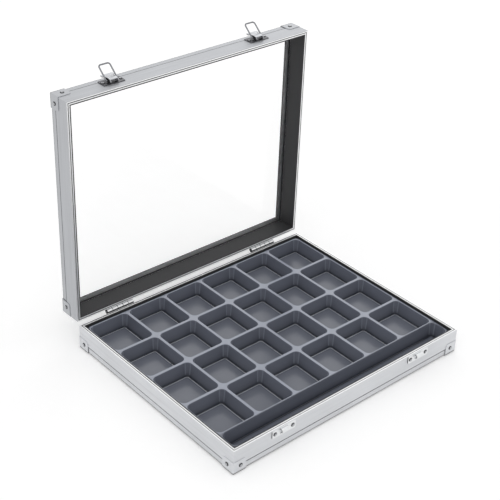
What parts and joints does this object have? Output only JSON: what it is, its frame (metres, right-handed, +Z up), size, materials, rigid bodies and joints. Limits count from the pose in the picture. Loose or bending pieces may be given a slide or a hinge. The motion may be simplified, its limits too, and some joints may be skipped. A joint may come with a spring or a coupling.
{
  "type": "mineral specimen box",
  "caption": "Flat display case: mitred aluminium frame, clear hinged lid with draw latches, and a lift-out plastic tray of small square pockets.",
  "frame": {"origin": "middle of the base's underside", "axes": "+X along the hinge to the right, +Y to the back, +Z up; the lid stands open"},
  "size_m": [0.3478, 0.318, 0.3306],
  "materials": {
    "satin_aluminium": "satin anodised",
    "dark_liner": "matt charcoal",
    "corner_metal": "pressed, satin plated",
    "rivet_metal": "bright",
    "fitting_steel": "nickel plated",
    "clear_glass": "clear, polished",
    "dark_board": "dark covering",
    "tray_plastic": "glossy dark blue-grey moulding"
  },
  "bodies": {
    "base": {"base_front_rail": "satin_aluminium", "base_back_rail": "satin_aluminium", "base_left_rail": "satin_aluminium", "base_right_rail": "satin_aluminium", "base_front_liner": "dark_liner", "base_back_liner": "dark_liner", "base_left_liner": "dark_liner", "base_right_liner": "dark_liner", "base_corner_cap_front_left": "corner_metal", "base_corner_cap_front_right": "corner_metal", "base_corner_cap_back_left": "corner_metal", "base_corner_cap_back_right": "corner_metal", "base_panel": "dark_board", "base_corner_rivets": "rivet_metal", "catch_left": "fitting_steel", "catch_right": "fitting_steel", "catch_rivets": "rivet_metal", "hinge_left_base_leaf": "fitting_steel", "hinge_right_base_leaf": "fitting_steel", "hinge_left_pin": "fitting_steel", "hinge_right_pin": "fitting_steel", "hinge_base_rivets": "rivet_metal"},
    "tray": {"specimen_tray": "tray_plastic"},
    "lid": {"lid_front_rail": "satin_aluminium", "lid_back_rail": "satin_aluminium", "lid_left_rail": "satin_aluminium", "lid_right_rail": "satin_aluminium", "lid_front_liner": "dark_liner", "lid_back_liner": "dark_liner", "lid_left_liner": "dark_liner", "lid_right_liner": "dark_liner", "lid_corner_cap_front_left": "corner_metal", "lid_corner_cap_front_right": "corner_metal", "lid_corner_cap_back_left": "corner_metal", "lid_corner_cap_back_right": "corner_metal", "lid_glass": "clear_glass", "lid_corner_rivets": "rivet_metal", "hinge_left_lid_leaf": "fitting_steel", "hinge_right_lid_leaf": "fitting_steel", "hinge_lid_rivets": "rivet_metal", "latch_left_plate": "fitting_steel", "latch_right_plate": "fitting_steel", "latch_left_lever_pin": "fitting_steel", "latch_right_lever_pin": "fitting_steel", "latch_rivets": "rivet_metal"},
    "left_lever": {"latch_left_lever": "fitting_steel"},
    "left_bail": {"latch_left_bail": "fitting_steel"},
    "right_lever": {"latch_right_lever": "fitting_steel"},
    "right_bail": {"latch_right_bail": "fitting_steel"}
  },
  "joints": [
    {"name": "lid_hinge", "type": "hinge", "parent": "base", "child": "lid", "pos_m": [0, 0.1428, 0.0313], "axis": [-1, 0, 0], "range_deg": [-90, 0]},
    {"name": "tray_lift", "type": "slide", "parent": "base", "child": "tray", "axis": [0, 0, 1], "range_m": [0, 0.05]},
    {"name": "left_lever_pivot", "type": "hinge", "parent": "lid", "child": "left_lever", "pos_m": [-0.104, 0.1541, 0.3168], "axis": [1, 0, 0], "range_deg": [0, 110]},
    {"name": "left_bail_pivot", "type": "hinge", "parent": "left_lever", "child": "left_bail", "pos_m": [-0.104, 0.1581, 0.3168], "axis": [-1, 0, 0], "range_deg": [-141.34, 0]},
    {"name": "right_lever_pivot", "type": "hinge", "parent": "lid", "child": "right_lever", "pos_m": [0.104, 0.1541, 0.3168], "axis": [1, 0, 0], "range_deg": [0, 110]},
    {"name": "right_bail_pivot", "type": "hinge", "parent": "right_lever", "child": "right_bail", "pos_m": [0.104, 0.1581, 0.3168], "axis": [-1, 0, 0], "range_deg": [-141.34, 0]}
  ]
}
